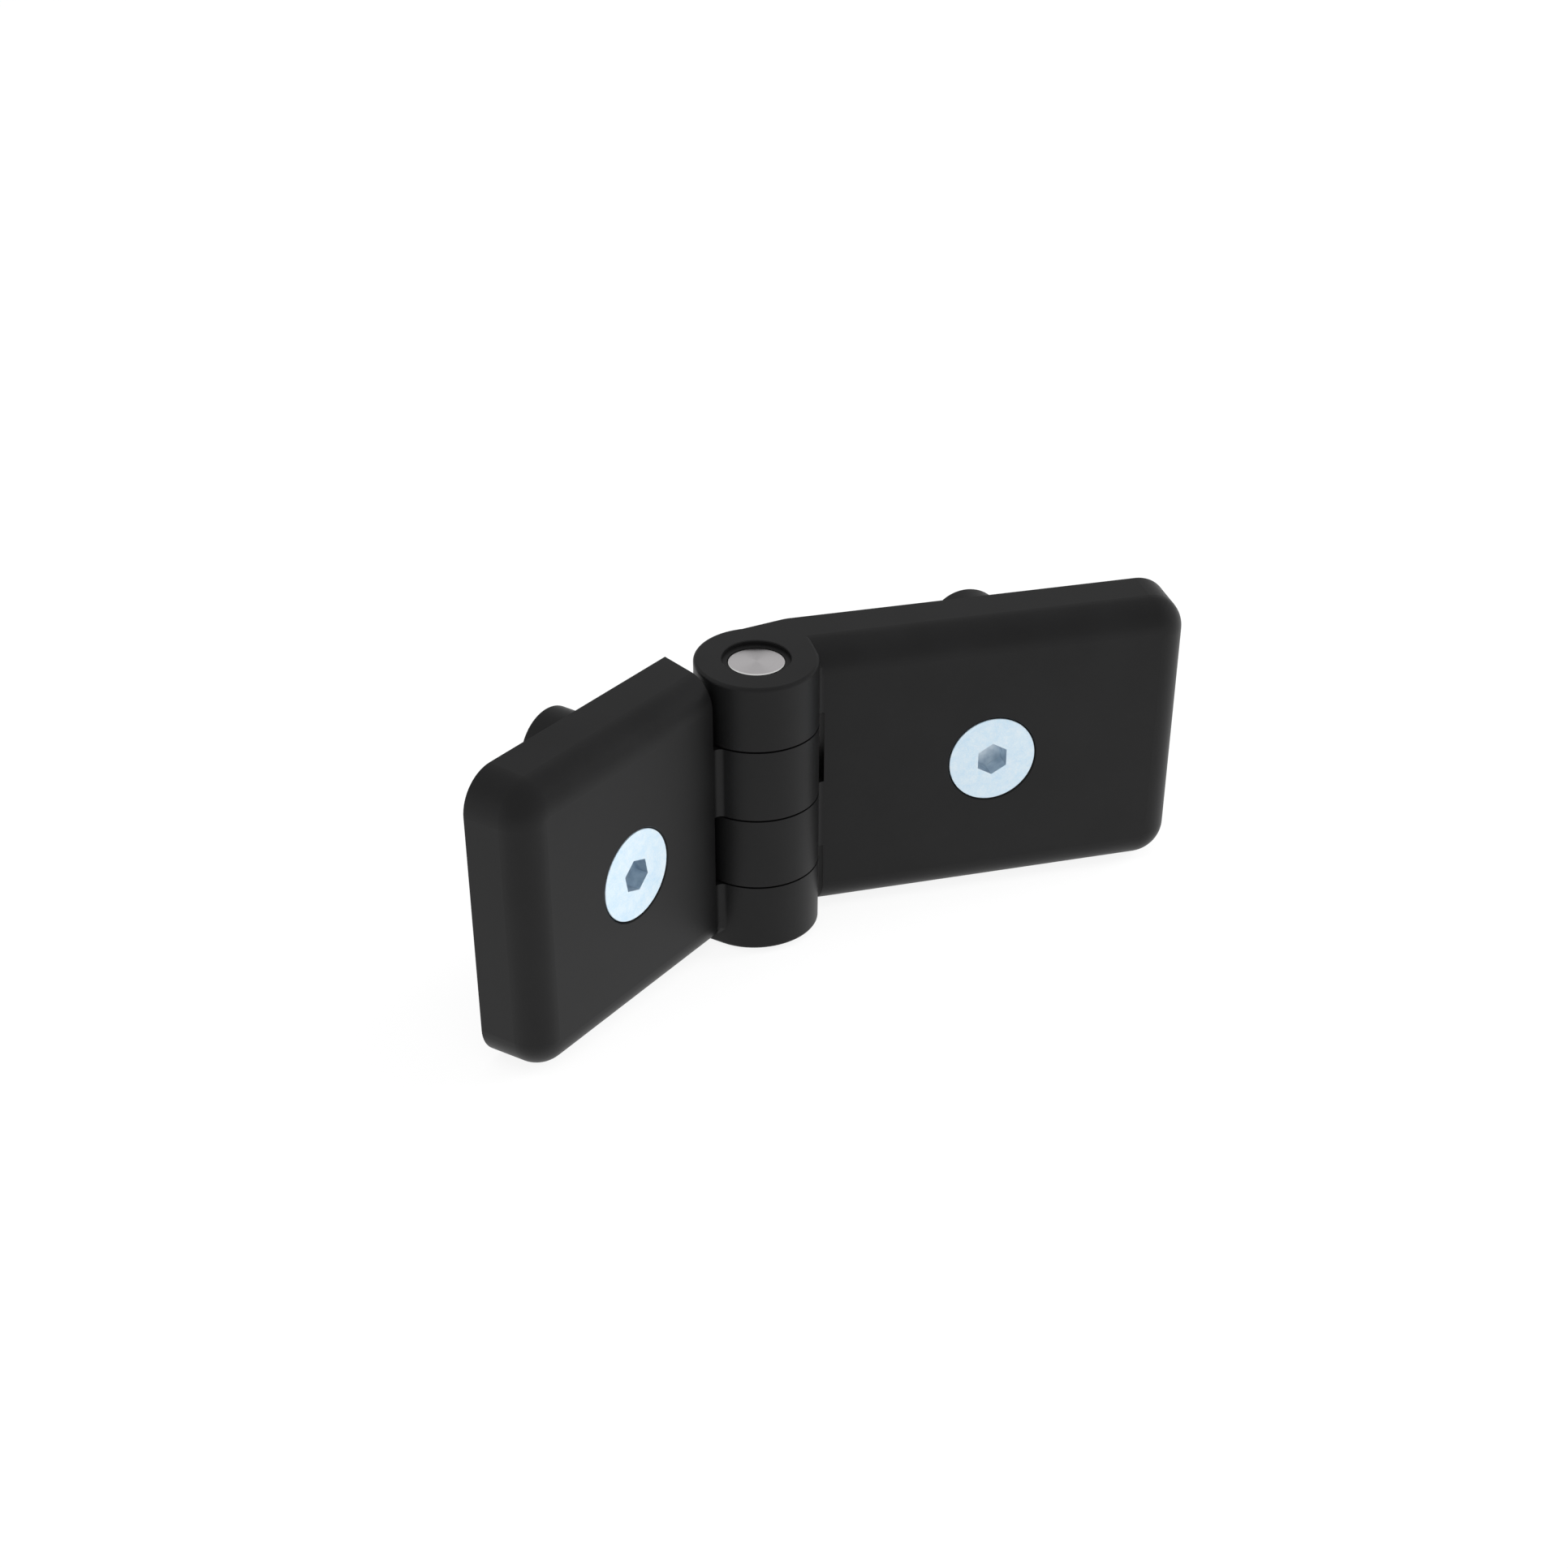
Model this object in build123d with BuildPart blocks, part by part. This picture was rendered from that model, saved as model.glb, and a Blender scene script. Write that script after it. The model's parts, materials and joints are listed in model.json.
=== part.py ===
# Plastic butt hinge with one long and one short leaf, for fastening to slotted profiles.
# Sizes are in millimetres. Each leaf is drawn in its own frame: x runs along the leaf from
# the hinge axis, y runs from the front face to the back face, z runs along the axis.
import os
from math import cos, radians, sin, sqrt, tan

from build123d import *

# Leaves
leaf_height = 40.0        # along the hinge axis, at the back face
leaf_thickness = 8.8
long_reach = 60.0         # hinge axis to the far end
short_reach = 45.0
front_setback = 0.2       # front face behind the plane of the axis
wall_draft = 3.0          # lean of the top, bottom and end walls, degrees
corner_radius = 5.0
front_round = 4.0
opening_angle = 140.0     # between the two front faces, degrees

# Barrel
barrel_diameter = 16.0
rim_round = 0.45
knuckle_gap = 0.25
split_rise = 0.2          # the knuckle splits sit this far above the quarter heights
slot_clearance = 0.9      # between a leaf and the other leaf's knuckles
neck_lean = 12.5          # lean of the slot walls and the neck backs, degrees
neck_inset = 0.55         # neck back nearer the axis than the barrel surface
neck_round = 5.0          # where the neck back meets the back face
root_fillet = 1.0         # where the barrel meets the front face
root_end_fillet = 0.2     # what is left of it at the end of its run-out
root_fade_start = 15.0    # the run-out, as angles up the front round, degrees
root_fade_end = 36.0

# Hinge pin
pin_diameter = 7.4
pin_recess = 1.0          # pin end below the leaf height
pin_edge_round = 0.2
pin_drive_fit = 0.02      # radial, in the long leaf
pin_running_fit = 0.05    # radial, in the short leaf
sink_diameter = 8.9       # recess around the pin end
sink_depth = 0.56         # its floor lies about level with the pin end
sink_chamfer = 0.1

# Countersunk screws
thread_diameter = 6.0
thread_gap = 0.2          # the thread starts this far behind the leaf
shank_diameter = 5.4
screw_length = 20.0
screw_tip_chamfer = 0.8
head_diameter = 12.0
head_land = 0.4
head_edge_break = 0.1
head_stand = 0.12         # head top proud of the front face
socket_width = 4.0        # across flats
socket_depth = 2.4
long_socket_turn = 30.0   # two flats stand parallel to the axis, degrees
short_socket_turn = 41.0
long_screw_reach = 32.5   # hinge axis to screw
short_screw_reach = 25.0
hole_clearance = 0.3      # radial, around the thread
mouth_clearance = 0.19    # radial, around the head
mouth_edge_break = 0.1
seat_clearance = 0.1      # radial, under the head cone

# Locating pegs on the back faces
peg_diameter = 10.2
peg_length = 4.5
peg_spacing = 28.0
peg_edge_round = 0.3

# Derived sizes
barrel_radius = barrel_diameter / 2
pin_radius = pin_diameter / 2
sink_radius = sink_diameter / 2
thread_radius = thread_diameter / 2
shank_radius = shank_diameter / 2
head_radius = head_diameter / 2
half_height = leaf_height / 2
pitch = leaf_height / 4
back_offset = front_setback + leaf_thickness
draft = radians(wall_draft)
draft_run = leaf_thickness * tan(draft)
front_corner = corner_radius - draft_run
front_fillet = min(front_round, 0.9 * front_corner)
round_depth = front_setback + front_fillet
round_centre = half_height - (leaf_thickness - front_fillet) * tan(draft) - front_fillet / cos(draft)
head_cone_depth = head_radius - shank_radius
head_top = front_setback - head_stand
shank_end = back_offset + thread_gap - head_top
neck_depth = barrel_radius - neck_inset
lean = radians(neck_lean)
cut_margin = barrel_diameter

# The origin is where the long leaf's screw crosses its back face, at mid height.
axis_point = (-long_screw_reach, -back_offset, 0)
short_heading = radians(-opening_angle)
long_frame = Plane(origin=axis_point, x_dir=(1, 0, 0), z_dir=(0, 0, 1))
short_frame = Plane(
    origin=axis_point,
    x_dir=(cos(short_heading), sin(short_heading), 0),
    z_dir=(0, 0, -1),
)


def place(frame, x, y, z, x_dir, z_dir):
    return Plane(origin=frame.from_local_coords((x, y, z)), x_dir=x_dir, z_dir=z_dir)


# Concave fillet between the barrel and the front face, as a section across it
def draw_root(plane, radius):
    centre_y = front_setback - radius
    centre_x = sqrt((barrel_radius + radius) ** 2 - centre_y**2)
    shrink = barrel_radius / (barrel_radius + radius)
    on_face = (centre_x, front_setback)
    on_barrel = (centre_x * shrink, centre_y * shrink)
    inside = (centre_x - 2 * radius, front_setback + radius)
    with BuildSketch(plane) as root:
        with BuildLine():
            RadiusArc(on_face, on_barrel, -radius)
            Polyline(on_barrel, inside, on_face)
        make_face()
    return root.sketch


def build_leaf(frame, reach, screw_reach, split_shift, pin_fit):
    along, back, up = frame.x_dir, frame.y_dir, frame.z_dir
    along_axis = Axis(frame.origin, along)
    back_axis = Axis(frame.origin, back)
    up_axis = Axis(frame.origin, up)

    # Knuckle levels: one inner knuckle and one end knuckle, with slots below each
    half_gap = knuckle_gap / 2
    inner_low = split_shift - pitch + half_gap
    inner_high = split_shift - half_gap
    end_low = split_shift + pitch + half_gap

    # The end face leans with the leaf's top wall
    end_normal = up * cos(draft) - back * sin(draft)
    end_plane = place(frame, 0, back_offset, half_height, along, end_normal)
    end_on_axis = half_height - back_offset * tan(draft)
    sink_mouth = place(frame, 0, 0, end_on_axis, along, end_normal)

    # Section planes of the root fillet, turned about the axis of the front round
    def climb(angle):
        inwards = back * cos(radians(angle)) - up * sin(radians(angle))
        normal = up * cos(radians(angle)) + back * sin(radians(angle))
        origin = frame.from_local_coords((0, round_depth, round_centre)) - inwards * round_depth
        return Plane(origin=origin, x_dir=along, z_dir=normal)

    # The slot walls and neck backs lean together
    neck = Plane(origin=frame.origin, x_dir=along * cos(lean) + back * sin(lean), z_dir=up)
    slot_wall = place(neck, barrel_radius + slot_clearance, 0, 0, neck.x_dir, up)
    neck_back = place(neck, 0, neck_depth, 0, along, neck.y_dir)

    # End knuckle: the barrel and the tangent block that carries it into the leaf's top
    with BuildPart() as end_knuckle:
        with BuildSketch(frame.offset(end_low)):
            Rectangle(barrel_radius, back_offset, align=(Align.MIN, Align.MIN))
            with Locations(Location((-neck_depth * sin(lean), neck_depth * cos(lean)), neck_lean)):
                Rectangle(2 * cut_margin, cut_margin, align=(Align.CENTER, Align.MIN), mode=Mode.SUBTRACT)
            Circle(barrel_radius)
        extrude(amount=leaf_height)
        split(bisect_by=end_plane, keep=Keep.BOTTOM)
        end_face = end_knuckle.faces().sort_by(up_axis)[-1]
        rim = end_face.edges().filter_by(GeomType.ELLIPSE) + end_face.edges().sort_by(along_axis)[-1:]
        fillet(rim, rim_round)

    with BuildPart() as leaf:
        # Drafted plate with round outer corners and a round front edge
        with BuildSketch(place(frame, 0, back_offset, 0, along, -back)):
            plate = Rectangle(reach, leaf_height, align=(Align.MIN, Align.CENTER))
            fillet(plate.vertices().group_by(Axis.X)[-1], corner_radius)
        extrude(amount=leaf_thickness, taper=wall_draft)
        front_edges = leaf.faces().sort_by(back_axis)[0].edges()
        fillet(front_edges.sort_by(along_axis)[1:], front_fillet)

        # Neck and slots
        split(bisect_by=neck_back, keep=Keep.BOTTOM)
        with BuildSketch(slot_wall.offset(inner_high)):
            Rectangle(2 * cut_margin, 2 * cut_margin, align=(Align.MAX, Align.CENTER))
        extrude(amount=end_low - inner_high, mode=Mode.SUBTRACT)
        with BuildSketch(slot_wall.offset(inner_low)):
            Rectangle(2 * cut_margin, 2 * cut_margin, align=(Align.MAX, Align.CENTER))
        extrude(amount=-leaf_height, mode=Mode.SUBTRACT)

        # Knuckles
        add(end_knuckle.part)
        with BuildSketch(frame.offset(inner_low)):
            Circle(barrel_radius)
        extrude(amount=inner_high - inner_low)

        # Concave fillets where the barrel meets the front face; the upper one fades up the round
        extrude(draw_root(frame.offset(inner_low), root_fillet), amount=inner_high - inner_low)
        extrude(draw_root(frame.offset(end_low), root_fillet), amount=round_centre - end_low)
        run_out = [
            draw_root(climb(0), root_fillet),
            draw_root(climb(root_fade_start), root_fillet),
            draw_root(climb(root_fade_end), root_end_fillet),
        ]
        loft(run_out, ruled=True)

        # Rounded turn from the neck backs to the back face
        back_edges = leaf.faces().sort_by(back_axis)[-1].edges()
        fillet(back_edges.filter_by(up_axis).group_by(along_axis)[0], neck_round)

        # Pin bore, with a wider shallow recess at the outer end
        with BuildSketch(frame.offset(-half_height)):
            Circle(pin_radius + pin_fit)
        extrude(amount=leaf_height, mode=Mode.SUBTRACT)
        with BuildSketch(sink_mouth):
            Circle(sink_radius)
        extrude(amount=-sink_depth, mode=Mode.SUBTRACT)
        with BuildSketch(sink_mouth):
            Circle(sink_radius + sink_chamfer)
        extrude(amount=-sink_chamfer, taper=45, mode=Mode.SUBTRACT)

        # Locating pegs
        with BuildSketch(place(frame, screw_reach, back_offset, 0, along, back)):
            with GridLocations(0, peg_spacing, 1, 2):
                Circle(peg_diameter / 2)
        extrude(amount=peg_length)
        fillet(leaf.faces().group_by(back_axis)[-1].edges(), peg_edge_round)

        # Countersunk screw hole
        mouth_radius = head_radius + mouth_clearance
        hole_radius = thread_radius + hole_clearance
        cone_start = head_land - head_stand + seat_clearance - mouth_clearance
        cone_end = cone_start + mouth_radius - hole_radius
        outside = mouth_edge_break + peg_length
        with BuildSketch(place(frame, screw_reach, front_setback, 0, along, up)):
            with BuildLine():
                Polyline(
                    (0, -peg_length),
                    (mouth_radius + outside, -peg_length),
                    (mouth_radius, mouth_edge_break),
                    (mouth_radius, cone_start),
                    (hole_radius, cone_end),
                    (hole_radius, 2 * leaf_thickness),
                    (0, 2 * leaf_thickness),
                    close=True,
                )
            make_face()
        revolve(axis=Axis(frame.from_local_coords((screw_reach, 0, 0)), back), mode=Mode.SUBTRACT)
    return leaf.part


def build_screw(frame, screw_reach, turn):
    along, back, up = frame.x_dir, frame.y_dir, frame.z_dir
    with BuildPart() as screw:
        with BuildSketch(place(frame, screw_reach, head_top, 0, along, up)):
            with BuildLine():
                Polyline(
                    (0, 0),
                    (head_radius - head_edge_break, 0),
                    (head_radius, head_edge_break),
                    (head_radius, head_land),
                    (shank_radius, head_land + head_cone_depth),
                    (shank_radius, shank_end),
                    (thread_radius, shank_end),
                    (thread_radius, screw_length - screw_tip_chamfer),
                    (thread_radius - screw_tip_chamfer, screw_length),
                    (0, screw_length),
                    close=True,
                )
            make_face()
        revolve(axis=Axis(frame.from_local_coords((screw_reach, 0, 0)), back))
        with BuildSketch(place(frame, screw_reach, head_top, 0, along, -back)):
            RegularPolygon(socket_width / 2, 6, major_radius=False, rotation=turn)
        extrude(amount=-socket_depth, mode=Mode.SUBTRACT)
    return screw.part


long_leaf = build_leaf(long_frame, long_reach, long_screw_reach, split_rise, pin_drive_fit)
long_leaf.label = "long_leaf"

short_leaf = build_leaf(short_frame, short_reach, short_screw_reach, -split_rise, pin_running_fit)
short_leaf.label = "short_leaf"

long_leaf_screw = build_screw(long_frame, long_screw_reach, long_socket_turn)
long_leaf_screw.label = "long_leaf_screw"

short_leaf_screw = build_screw(short_frame, short_screw_reach, short_socket_turn)
short_leaf_screw.label = "short_leaf_screw"

with BuildPart() as hinge_pin:
    with BuildSketch(long_frame.offset(pin_recess - half_height)):
        Circle(pin_radius)
    extrude(amount=leaf_height - 2 * pin_recess)
    fillet(hinge_pin.edges().filter_by(GeomType.CIRCLE), pin_edge_round)
hinge_pin.part.label = "hinge_pin"

os.makedirs("parts", exist_ok=True)
export_step(long_leaf, "parts/long_leaf.step")
export_step(short_leaf, "parts/short_leaf.step")
export_step(long_leaf_screw, "parts/long_leaf_screw.step")
export_step(short_leaf_screw, "parts/short_leaf_screw.step")
export_step(hinge_pin.part, "parts/hinge_pin.step")
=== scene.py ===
import json
import math
import bpy
import mathutils
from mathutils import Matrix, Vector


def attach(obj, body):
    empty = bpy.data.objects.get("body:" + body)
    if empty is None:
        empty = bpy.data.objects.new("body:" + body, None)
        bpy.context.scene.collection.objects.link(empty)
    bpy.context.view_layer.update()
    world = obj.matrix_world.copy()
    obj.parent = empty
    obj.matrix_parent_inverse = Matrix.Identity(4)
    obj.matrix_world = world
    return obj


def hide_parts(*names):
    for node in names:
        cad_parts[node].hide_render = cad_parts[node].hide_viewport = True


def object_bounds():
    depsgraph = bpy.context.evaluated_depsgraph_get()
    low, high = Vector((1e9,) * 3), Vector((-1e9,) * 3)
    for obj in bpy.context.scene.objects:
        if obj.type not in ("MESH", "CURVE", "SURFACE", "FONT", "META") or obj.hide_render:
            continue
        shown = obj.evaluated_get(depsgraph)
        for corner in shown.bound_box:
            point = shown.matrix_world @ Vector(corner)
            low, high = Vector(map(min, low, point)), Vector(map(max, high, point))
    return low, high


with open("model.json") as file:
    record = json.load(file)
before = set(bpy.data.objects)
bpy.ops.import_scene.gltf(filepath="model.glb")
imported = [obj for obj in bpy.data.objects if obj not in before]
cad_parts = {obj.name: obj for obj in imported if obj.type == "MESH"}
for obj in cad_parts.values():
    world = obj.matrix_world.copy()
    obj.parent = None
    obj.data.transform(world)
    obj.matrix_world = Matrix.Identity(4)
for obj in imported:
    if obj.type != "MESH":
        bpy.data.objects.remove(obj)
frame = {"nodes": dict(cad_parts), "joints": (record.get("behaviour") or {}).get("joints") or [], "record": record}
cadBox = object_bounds()
scene = bpy.context.scene
cadNodes = frame["nodes"]
mounts = {mount["name"]: mount for mount in frame["record"]["mounts"]}
mm = 0.001
print("frame loaded:", sorted(cadNodes))


def newMaterial(name):
    mat = bpy.data.materials.new(name)
    mat.use_nodes = True
    nodes = mat.node_tree.nodes
    return mat, nodes, mat.node_tree.links, nodes["Principled BSDF"]


def addNode(nodes, kind, **values):
    node = nodes.new(kind)
    for name, value in values.items():
        node.inputs[name.replace("_", " ")].default_value = value
    return node


def objectPlace(nodes):
    return nodes.new("ShaderNodeTexCoord").outputs["Object"]


def noiseOn(nodes, links, coords, size, detail, roughness=0.5):
    noise = addNode(nodes, "ShaderNodeTexNoise", Scale=1 / size, Detail=detail, Roughness=roughness)
    links.new(coords, noise.inputs["Vector"])
    return noise.outputs["Fac"]


def rampOn(nodes, links, source, finish, low=0.3, high=0.7):
    ramp = nodes.new("ShaderNodeValToRGB")
    darkStop, paleStop = ramp.color_ramp.elements
    darkStop.position, paleStop.position = low, high
    darkStop.color = (*finish["shade"], 1)
    paleStop.color = (*finish["light"], 1)
    links.new(source, ramp.inputs["Fac"])
    return ramp.outputs["Color"]


def rangeOn(nodes, links, source, low, high, start=0.0, full=1.0):
    spread = addNode(nodes, "ShaderNodeMapRange", From_Min=start, From_Max=full, To_Min=low, To_Max=high)
    links.new(source, spread.inputs["Value"])
    return spread.outputs["Result"]


def tintOn(nodes, links, amount, colour, tint):
    mix = addNode(nodes, "ShaderNodeMixRGB", Color2=(*tint, 1))
    links.new(amount, mix.inputs["Fac"])
    links.new(colour, mix.inputs["Color1"])
    return mix.outputs["Color"]


def bumpOn(nodes, links, height, strength, distance):
    bump = addNode(nodes, "ShaderNodeBump", Strength=strength, Distance=distance)
    links.new(height, bump.inputs["Height"])
    return bump.outputs["Normal"]


def mathOn(nodes, links, operation, first, second):
    node = nodes.new("ShaderNodeMath")
    node.operation = operation
    links.new(first, node.inputs[0])
    links.new(second, node.inputs[1])
    return node.outputs["Value"]


def vectorOn(nodes, links, operation, source, other=(0, 0, 0)):
    node = nodes.new("ShaderNodeVectorMath")
    node.operation = operation
    links.new(source, node.inputs[0])
    node.inputs[1].default_value = other
    return node.outputs


def paint(obj, mat):
    obj.data.materials.clear()
    obj.data.materials.append(mat)


# satin black moulding, with the fine grain of an eroded mould
plastic = {
    "shade": (0.0042, 0.0042, 0.0044),
    "light": (0.0068, 0.0068, 0.0071),
    "cloudSize": 9 * mm,
    "cloudDetail": 3,
    "grainSize": 0.22 * mm,
    "grainDetail": 2,
    "grainBump": 0.6,
    "grainDepth": 0.006 * mm,
    "roughLow": 0.40,
    "roughHigh": 0.47,
    "gloss": 0.25,
}


def makePlastic():
    mat, nodes, links, shader = newMaterial("satinBlackPlastic")
    coords = objectPlace(nodes)
    cloud = noiseOn(nodes, links, coords, plastic["cloudSize"], plastic["cloudDetail"])
    tone = rampOn(nodes, links, cloud, plastic)
    links.new(tone, shader.inputs["Base Color"])
    rough = rangeOn(nodes, links, cloud, plastic["roughLow"], plastic["roughHigh"])
    links.new(rough, shader.inputs["Roughness"])
    grain = noiseOn(nodes, links, coords, plastic["grainSize"], plastic["grainDetail"])
    bump = bumpOn(nodes, links, grain, plastic["grainBump"], plastic["grainDepth"])
    links.new(bump, shader.inputs["Normal"])
    shader.inputs["Specular IOR Level"].default_value = plastic["gloss"]
    return mat


# bluish zinc plating with cloudy mottling and fine sparkle
zinc = {
    "shade": (0.61, 0.81, 0.96),
    "light": (0.81, 0.92, 0.99),
    "cloudSize": 2.2 * mm,
    "cloudDetail": 7,
    "cloudRough": 0.85,
    "cloudLow": 0.32,
    "cloudHigh": 0.66,
    "speckSize": 0.2 * mm,
    "speckDetail": 2,
    "speckBump": 0.5,
    "speckDepth": 0.004 * mm,
    "sparkle": (0.93, 0.97, 1.0),
    "sparkleMost": 0.4,
    "sparkleStart": 0.52,
    "sparkleFull": 0.72,
    "roughLow": 0.38,
    "roughHigh": 0.55,
    "metal": 0.45,
}
# rolled thread, darker and shinier than the head
threadZinc = {
    **zinc,
    "shade": (0.44, 0.50, 0.55),
    "light": (0.58, 0.64, 0.69),
    "roughLow": 0.24,
    "roughHigh": 0.36,
    "metal": 0.95,
}


def makeZinc(name, finish):
    mat, nodes, links, shader = newMaterial(name)
    coords = objectPlace(nodes)
    cloud = noiseOn(nodes, links, coords, finish["cloudSize"], finish["cloudDetail"], finish["cloudRough"])
    tone = rampOn(nodes, links, cloud, finish, finish["cloudLow"], finish["cloudHigh"])
    speck = noiseOn(nodes, links, coords, finish["speckSize"], finish["speckDetail"])
    start, full = finish["sparkleStart"], finish["sparkleFull"]
    glint = rangeOn(nodes, links, speck, 0.0, finish["sparkleMost"], start, full)
    links.new(tintOn(nodes, links, glint, tone, finish["sparkle"]), shader.inputs["Base Color"])
    rough = rangeOn(nodes, links, speck, finish["roughLow"], finish["roughHigh"])
    links.new(rough, shader.inputs["Roughness"])
    bump = bumpOn(nodes, links, speck, finish["speckBump"], finish["speckDepth"])
    links.new(bump, shader.inputs["Normal"])
    shader.inputs["Metallic"].default_value = finish["metal"]
    return mat


# inside of the hex socket: a darker copy of the plating, painted shade for the recess
socket = {
    "shade": (0.50, 0.61, 0.71),
    "light": (0.70, 0.80, 0.88),
    "cloudSize": 0.9 * mm,
    "cloudDetail": 4,
    "rough": 0.36,
    "metal": 0.8,
}


def makeSocketShade():
    mat, nodes, links, shader = newMaterial("socketShadeSteel")
    cloud = noiseOn(nodes, links, objectPlace(nodes), socket["cloudSize"], socket["cloudDetail"])
    links.new(rampOn(nodes, links, cloud, socket), shader.inputs["Base Color"])
    shader.inputs["Metallic"].default_value = socket["metal"]
    shader.inputs["Roughness"].default_value = socket["rough"]
    return mat


# turned steel pin: fine rings round its axis stretch the reflections into fans, and its edge is polished; the
# edge's lighter colour is a painted highlight
pinSteel = {
    "axis": tuple(frame["joints"][0]["pos_m"][:2]),
    "shade": (0.80, 0.775, 0.785),
    "light": (0.87, 0.85, 0.86),
    "ringSize": 0.07 * mm,
    "ringDetail": 3,
    "ringBump": 0.3,
    "ringDepth": 0.0004 * mm,
    "rough": 0.42,
    "stretch": 0.95,
    "metal": 1.0,
    # near-white colour of the edge band, a painted highlight
    "edge": (0.98, 0.98, 0.97),
    "edgeRough": 0.12,
    "edgeStart": 3.50 * mm,  # distances from the axis
    "edgeFull": 3.56 * mm,
}


def makePinSteel():
    mat, nodes, links, shader = newMaterial("turnedPinSteel")
    x, y = pinSteel["axis"]
    centre = addNode(nodes, "ShaderNodeMapping", Location=(-x, -y, 0))
    links.new(objectPlace(nodes), centre.inputs["Vector"])
    flat = vectorOn(nodes, links, "MULTIPLY", centre.outputs["Vector"], (1, 1, 0))["Vector"]
    radius = vectorOn(nodes, links, "LENGTH", flat)["Value"]
    rings = nodes.new("ShaderNodeTexNoise")
    rings.noise_dimensions = "1D"
    rings.inputs["Scale"].default_value = 1 / pinSteel["ringSize"]
    rings.inputs["Detail"].default_value = pinSteel["ringDetail"]
    links.new(radius, rings.inputs["W"])
    tone = rampOn(nodes, links, rings.outputs["Fac"], pinSteel)
    # the edge band is polished and smoother, and its lighter colour is a painted highlight
    polishAndHighlight = rangeOn(nodes, links, radius, 0.0, 1.0, pinSteel["edgeStart"], pinSteel["edgeFull"])
    links.new(tintOn(nodes, links, polishAndHighlight, tone, pinSteel["edge"]), shader.inputs["Base Color"])
    rough = rangeOn(nodes, links, polishAndHighlight, pinSteel["rough"], pinSteel["edgeRough"])
    links.new(rough, shader.inputs["Roughness"])
    bump = bumpOn(nodes, links, rings.outputs["Fac"], pinSteel["ringBump"], pinSteel["ringDepth"])
    links.new(bump, shader.inputs["Normal"])
    across = nodes.new("ShaderNodeTangent")
    across.direction_type = "RADIAL"
    across.axis = "Z"
    links.new(across.outputs["Tangent"], shader.inputs["Tangent"])
    shader.inputs["Metallic"].default_value = pinSteel["metal"]
    shader.inputs["Anisotropic"].default_value = pinSteel["stretch"]
    return mat


blackPlastic = makePlastic()
zincSteel = makeZinc("zincPlatedSteel", zinc)
threadSteel = makeZinc("zincPlatedThread", threadZinc)
socketShadeSteel = makeSocketShade()
turnedSteel = makePinSteel()
for leaf in ("long_leaf", "short_leaf"):
    paint(cadNodes[leaf], blackPlastic)
paint(cadNodes["hinge_pin"], turnedSteel)
print("materials set")


# countersunk screw, modelled upright with its head at z = 0 and then set into its leaf
screw = {
    "headRadius": 6.0 * mm,
    "headEdge": 0.05 * mm,
    "headLand": 0.22 * mm,
    "headSink": 0.06 * mm,  # below the leaf's front face
    "leafThickness": 8.8 * mm,
    "shankRadius": 2.7 * mm,
    "threadRadius": 3.0 * mm,
    "threadStart": 8.94 * mm,
    "threadStep": 0.02 * mm,  # length of the step from the shank out to the thread
    "threadDepth": 0.61 * mm,
    "threadFlat": 1 / 12,  # share of the pitch, at the crest and at the root
    "pitch": 1.0 * mm,
    "runOut": 0.9 * mm,
    "length": 19.82 * mm,
    "tip": 0.8 * mm,
    "socketWidth": 4.0 * mm,
    "socketDepth": 2.4 * mm,
    "socketLedge": 0.12,  # share of the corner radius
    "socketPoint": 0.2 * mm,
    "ringsPerTurn": 20,
    "steps": 80,
    "smoothAngle": 28,  # degrees
    "mergeGap": 0.001 * mm,
}
socketReach = screw["socketWidth"] / 2 / math.cos(math.pi / 6)  # corner radius of the hexagon


def closeMesh():
    bpy.ops.object.mode_set(mode="EDIT")
    bpy.ops.mesh.select_all(action="SELECT")
    bpy.ops.mesh.remove_doubles(threshold=screw["mergeGap"])
    bpy.ops.mesh.normals_make_consistent(inside=False)
    bpy.ops.object.mode_set(mode="OBJECT")


def latheChain(name, points):
    bpy.ops.object.select_all(action="DESELECT")
    bpy.ops.mesh.primitive_circle_add(vertices=3, radius=mm)
    turned = bpy.context.object
    turned.name = name
    bpy.ops.object.mode_set(mode="EDIT")
    bpy.ops.mesh.select_all(action="SELECT")
    bpy.ops.mesh.merge(type="CENTER")
    bpy.ops.transform.translate(value=(points[0][0], 0, points[0][1]))
    for before, after in zip(points, points[1:]):
        move = {"value": (after[0] - before[0], 0, after[1] - before[1])}
        bpy.ops.mesh.extrude_region_move(TRANSFORM_OT_translate=move)
    bpy.ops.object.mode_set(mode="OBJECT")
    lathe = turned.modifiers.new("lathe", "SCREW")
    lathe.steps = lathe.render_steps = screw["steps"]
    lathe.use_merge_vertices = True
    lathe.merge_threshold = screw["mergeGap"]
    bpy.ops.object.modifier_apply(modifier=lathe.name)
    closeMesh()
    return turned


def cutThread(turned):
    top = -screw["threadStart"]
    tipTop = -screw["length"] + screw["tip"]
    flat = screw["threadFlat"]
    for vertex in turned.data.vertices:
        x, y, z = vertex.co
        radius = math.hypot(x, y)
        if radius < screw["mergeGap"] or z > top + screw["threadStep"] / 2:
            continue  # centre of the tip, shank and head
        phase = (z / screw["pitch"] - math.atan2(y, x) / math.tau) % 1.0
        slope = (abs(phase - 0.5) - flat / 2) / (0.5 - flat)
        tooth = min(1.0, max(0.0, slope))  # 0 at the crest, 1 at the root
        fade = min(1.0, max(0.0, (top - z) / screw["runOut"]))
        rim = screw["threadRadius"] if z > tipTop else radius
        cut = rim - screw["threadDepth"] * tooth * fade
        shrink = min(radius, cut) / radius
        vertex.co.x, vertex.co.y = x * shrink, y * shrink


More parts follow.
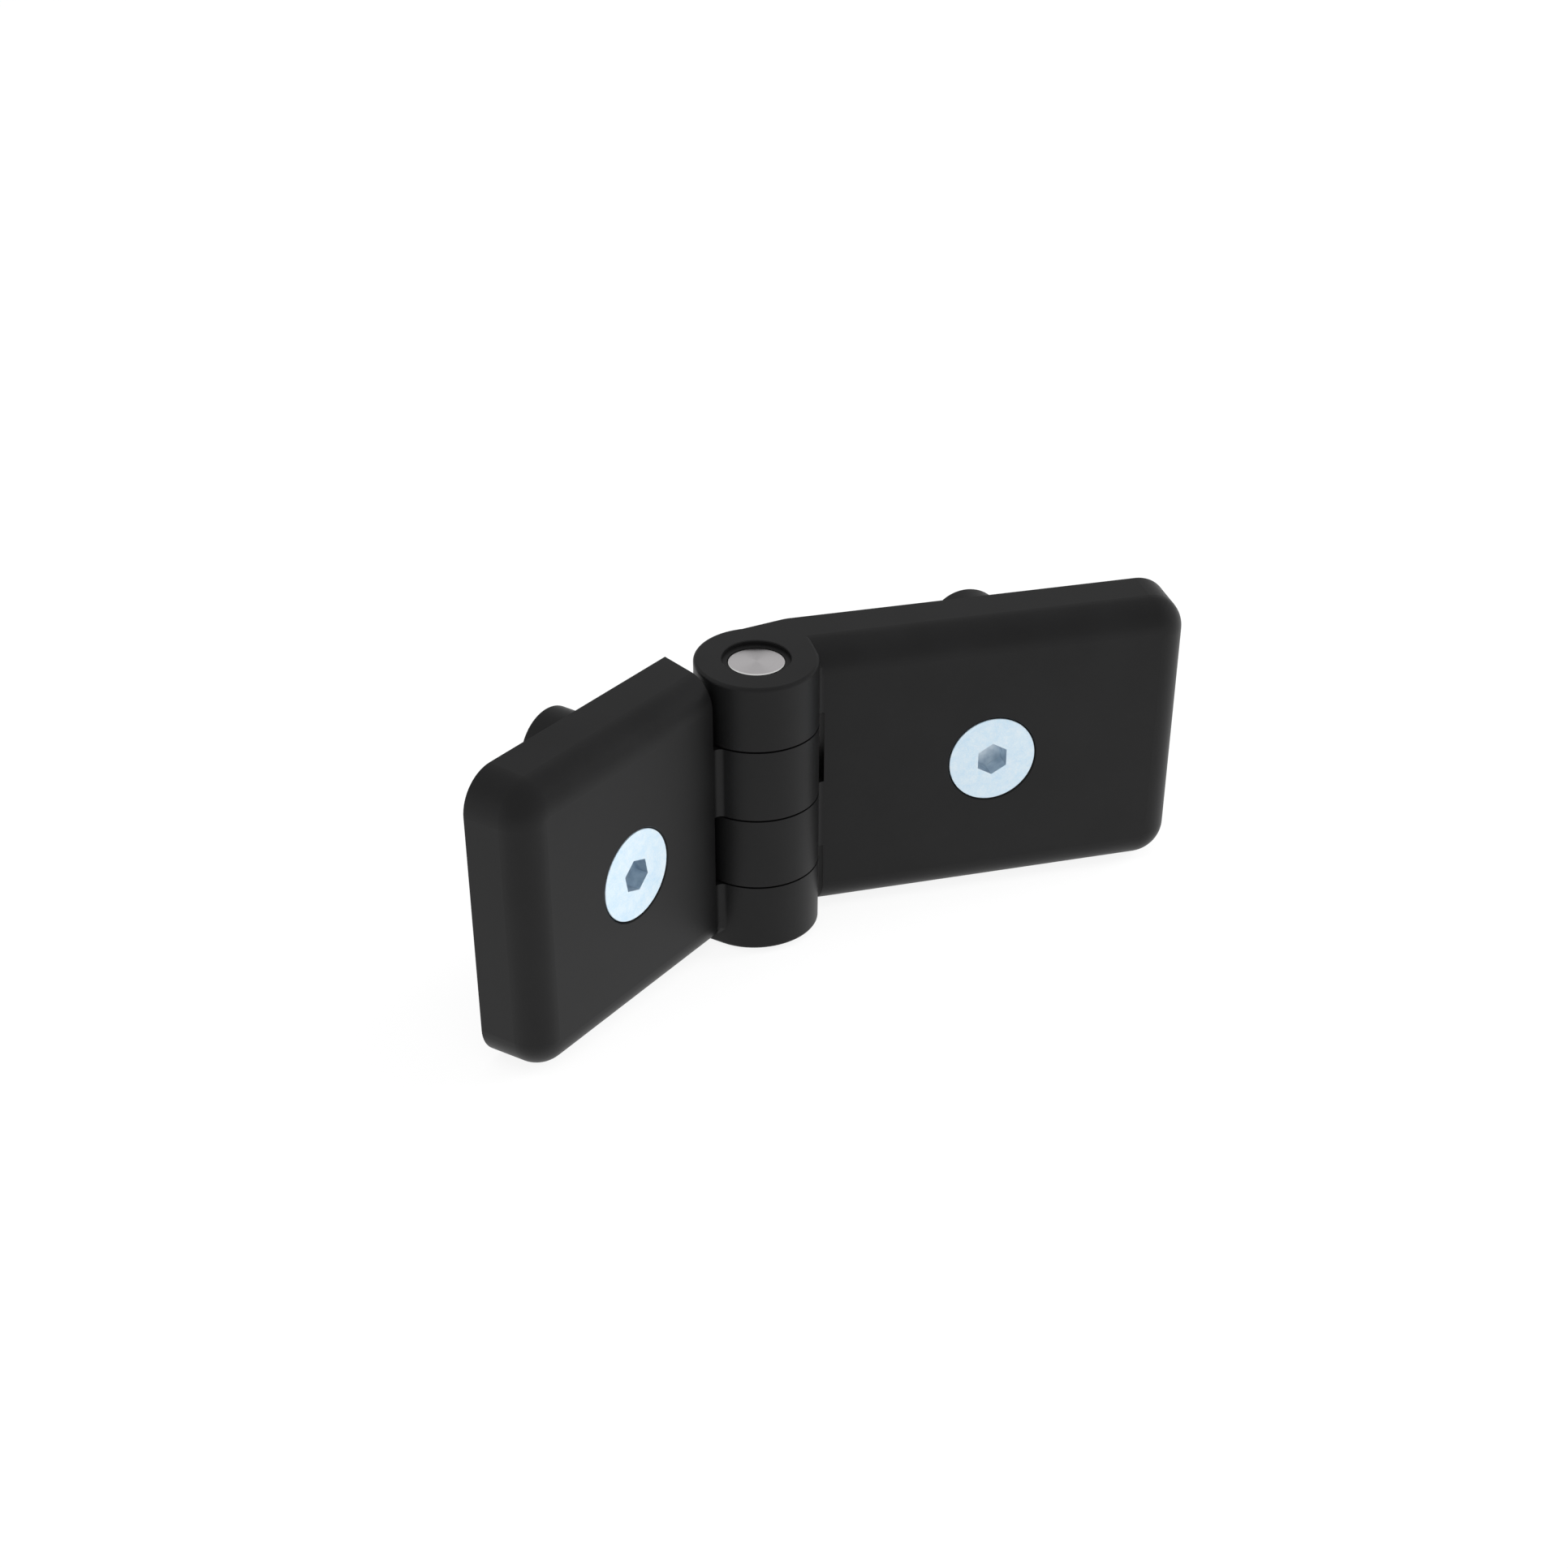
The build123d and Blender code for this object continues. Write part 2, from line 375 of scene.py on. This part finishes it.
def cutSocket(turned):
    bpy.ops.object.select_all(action="DESELECT")
    bpy.ops.mesh.primitive_cylinder_add(vertices=6, radius=socketReach, depth=2 * screw["socketDepth"])
    cutter = bpy.context.object
    bpy.ops.object.mode_set(mode="EDIT")
    bpy.ops.mesh.select_all(action="DESELECT")
    bpy.ops.object.mode_set(mode="OBJECT")
    for face in cutter.data.polygons:
        face.select = face.normal.z < -0.9  # the lower end, which gets a shallow point
    bpy.ops.object.mode_set(mode="EDIT")
    bpy.ops.mesh.inset(thickness=screw["socketLedge"] * socketReach)
    bpy.ops.mesh.extrude_region_move(TRANSFORM_OT_translate={"value": (0, 0, -screw["socketPoint"])})
    bpy.ops.mesh.merge(type="CENTER")
    bpy.ops.object.mode_set(mode="OBJECT")
    bpy.ops.object.select_all(action="DESELECT")
    turned.select_set(True)
    bpy.context.view_layer.objects.active = turned
    cut = turned.modifiers.new("socket", "BOOLEAN")
    cut.operation = "DIFFERENCE"
    cut.object = cutter
    cut.solver = "EXACT"
    bpy.ops.object.modifier_apply(modifier=cut.name)
    bpy.data.objects.remove(cutter)
    closeMesh()  # corners of the hexagon meet lathe steps


def makeScrew():
    top = -screw["threadStart"]
    tipTop = -screw["length"] + screw["tip"]
    coneEnd = screw["headLand"] + screw["headRadius"] - screw["shankRadius"]
    rise = screw["pitch"] / screw["ringsPerTurn"]
    threadRings = round((screw["length"] - screw["tip"] - screw["threadStart"]) / rise)
    tipRings = round(screw["tip"] / rise)
    points = [
        (0, 0),
        (screw["headRadius"] - screw["headEdge"], 0),
        (screw["headRadius"], -screw["headEdge"]),
        (screw["headRadius"], -screw["headLand"]),
        (screw["shankRadius"], -coneEnd),
        (screw["shankRadius"], top + screw["threadStep"]),
    ]
    points += [(screw["threadRadius"], top - i * rise) for i in range(threadRings + 1)]
    points += [(screw["threadRadius"] - i * rise, tipTop - i * rise) for i in range(1, tipRings + 1)]
    points.append((0, -screw["length"]))
    turned = latheChain("countersunkScrew", points)
    cutThread(turned)
    cutSocket(turned)
    bpy.ops.object.shade_smooth_by_angle(angle=math.radians(screw["smoothAngle"]))
    return turned


def paintScrew(turned):
    turned.data.materials.clear()
    for mat in (zincSteel, socketShadeSteel, threadSteel):
        turned.data.materials.append(mat)
    for face in turned.data.polygons:
        x, y, z = face.center
        if z < -screw["threadStart"]:
            face.material_index = 2
        # faces inside the hex socket take the darker copy of the plating, painted shade
        elif z < -screw["mergeGap"] and math.hypot(x, y) < socketReach:
            face.material_index = 1


def setScrew(piece, mount, turn):
    # the head looks against the mount's axis, from the leaf's back face towards its front
    axis = mathutils.Vector(mount["axis"])
    seat = mathutils.Vector(mount["pos_m"])
    up = mathutils.Vector((0, 0, 1))
    side = up.cross(-axis)
    basis = mathutils.Matrix((side, up, -axis)).transposed().to_4x4()
    head = seat - axis * (screw["leafThickness"] - screw["headSink"])
    spin = mathutils.Matrix.Rotation(math.radians(turn), 4, "Z")
    piece.data.transform(mathutils.Matrix.Translation(head) @ basis @ spin)
    piece.data.update()


# node, mount behind it, body it moves with, turn of its socket in degrees
screwSeats = [
    ("long_leaf_screw", "long_leaf_pegs", "long_leaf_body", 0.0),
    ("short_leaf_screw", "short_leaf_pegs", "short_leaf_body", 11.0),
]
master = makeScrew()
paintScrew(master)
for node, mount, body, turn in screwSeats:
    piece = bpy.data.objects.new(node + "_threaded", master.data.copy())
    scene.collection.objects.link(piece)
    setScrew(piece, mounts[mount], turn)
    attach(piece, body)
    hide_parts(node)
bpy.data.objects.remove(master)
print("screws set")


# pale floor under the standing hinge, a white room with dimmer sides, and two soft lamps
studio = {
    "floorHalf": 3.0,  # metres
    "floorBounce": 0.8,  # as the hinge is lit by it
    "floorShade": 0.15,  # the part that takes the shadow
    "floorGlow": 0.88,
    "floorMirror": 0.81,  # its glow in reflections
    "skyLight": 1.0,
    # dimmer parts of the room: direction, level, and the cosines where it starts and is full
    "dimSides": [
        ((0.24, 0.90, 0.36), 0.48, 0.35, 0.75),
        ((-0.22, -0.86, 0.46), 0.67, 0.35, 0.75),
        ((0.92, 0.02, 0.39), 0.70, 0.35, 0.75),
        ((0.0, 0.0, 1.0), 0.60, 0.25, 0.60),
    ],
    # lamps for the pale surfaces, left out of reflections: name, place, size, power
    "lamps": [
        ("overheadSoftbox", (-0.10, -0.15, 0.95), 1.1, 4.0),
        ("rightFill", (0.85, 0.06, 0.30), 0.5, 8.0),
    ],
}


def grey(level):
    return (level, level, level, 1)


def rayKinds(nodes):
    return nodes.new("ShaderNodeLightPath").outputs


def makeFloor():
    bpy.ops.object.select_all(action="DESELECT")
    bpy.ops.mesh.primitive_plane_add(size=2 * studio["floorHalf"], location=(0, 0, cadBox[0][2]))
    floor = bpy.context.object
    floor.name = "studioFloor"
    bpy.ops.object.transform_apply(location=True)
    mat, nodes, links, shader = newMaterial("paleFloor")
    nodes.remove(shader)
    rays = rayKinds(nodes)
    level = addNode(nodes, "ShaderNodeMix", A=studio["floorGlow"], B=studio["floorMirror"])
    links.new(rays["Is Glossy Ray"], level.inputs["Factor"])
    glow = nodes.new("ShaderNodeEmission")
    links.new(level.outputs["Result"], glow.inputs["Strength"])
    shade = addNode(nodes, "ShaderNodeBsdfDiffuse", Color=grey(studio["floorShade"]))
    lit = nodes.new("ShaderNodeAddShader")
    links.new(shade.outputs["BSDF"], lit.inputs[0])
    links.new(glow.outputs["Emission"], lit.inputs[1])
    bounce = addNode(nodes, "ShaderNodeBsdfDiffuse", Color=grey(studio["floorBounce"]))
    seen = mathOn(nodes, links, "MAXIMUM", rays["Is Camera Ray"], rays["Is Glossy Ray"])
    seen = mathOn(nodes, links, "MAXIMUM", seen, rays["Is Transmission Ray"])
    mix = nodes.new("ShaderNodeMixShader")
    links.new(seen, mix.inputs["Fac"])
    links.new(bounce.outputs["BSDF"], mix.inputs[1])
    links.new(lit.outputs["Shader"], mix.inputs[2])
    links.new(mix.outputs["Shader"], nodes["Material Output"].inputs["Surface"])
    floor.data.materials.append(mat)


def makeRoom():
    world = bpy.data.worlds.new("studioWorld")
    world.use_nodes = True
    scene.world = world
    nodes, links = world.node_tree.nodes, world.node_tree.links
    sky = nodes["Background"]
    sky.inputs["Color"].default_value = grey(1)
    looking = nodes.new("ShaderNodeTexCoord").outputs["Generated"]
    strength = nodes.new("ShaderNodeValue").outputs["Value"]
    strength.default_value = studio["skyLight"]
    for direction, level, start, full in studio["dimSides"]:
        facing = vectorOn(nodes, links, "DOT_PRODUCT", looking, direction)["Value"]
        dim = rangeOn(nodes, links, facing, 1.0, level, start, full)
        strength = mathOn(nodes, links, "MINIMUM", strength, dim)
    plain = addNode(nodes, "ShaderNodeMix", B=1.0)  # white where the camera sees it
    links.new(rayKinds(nodes)["Is Camera Ray"], plain.inputs["Factor"])
    links.new(strength, plain.inputs["A"])
    links.new(plain.outputs["Result"], sky.inputs["Strength"])


def makeLamp(name, place, size, power):
    lamp = bpy.data.lights.new(name, "AREA")
    lamp.energy = power
    lamp.size = size
    softbox = bpy.data.objects.new(name, lamp)
    softbox.location = place
    softbox.rotation_euler = mathutils.Vector(place).to_track_quat("Z", "Y").to_euler()
    softbox.visible_camera = False
    softbox.visible_glossy = False
    scene.collection.objects.link(softbox)


makeFloor()
makeRoom()
for lampSettings in studio["lamps"]:
    makeLamp(*lampSettings)
print("floor and light set")


shot = {
    "place": (-92.75 * mm, -246.77 * mm, 142.75 * mm),
    "down": 30.0,  # degrees
    "heading": 15.03,  # from +Y towards +X, in degrees
    "lens": 50.0,
    "sensor": 36.0,
    "nearest": 10 * mm,
}
cameraData = bpy.data.cameras.new("photoCamera")
cameraData.lens = shot["lens"]
cameraData.sensor_width = shot["sensor"]
cameraData.clip_start = shot["nearest"]
camera = bpy.data.objects.new("photoCamera", cameraData)
camera.location = shot["place"]
camera.rotation_euler = (math.radians(90 - shot["down"]), 0, -math.radians(shot["heading"]))
scene.collection.objects.link(camera)
scene.camera = camera
scene.view_settings.view_transform = "Standard"
print("camera set")
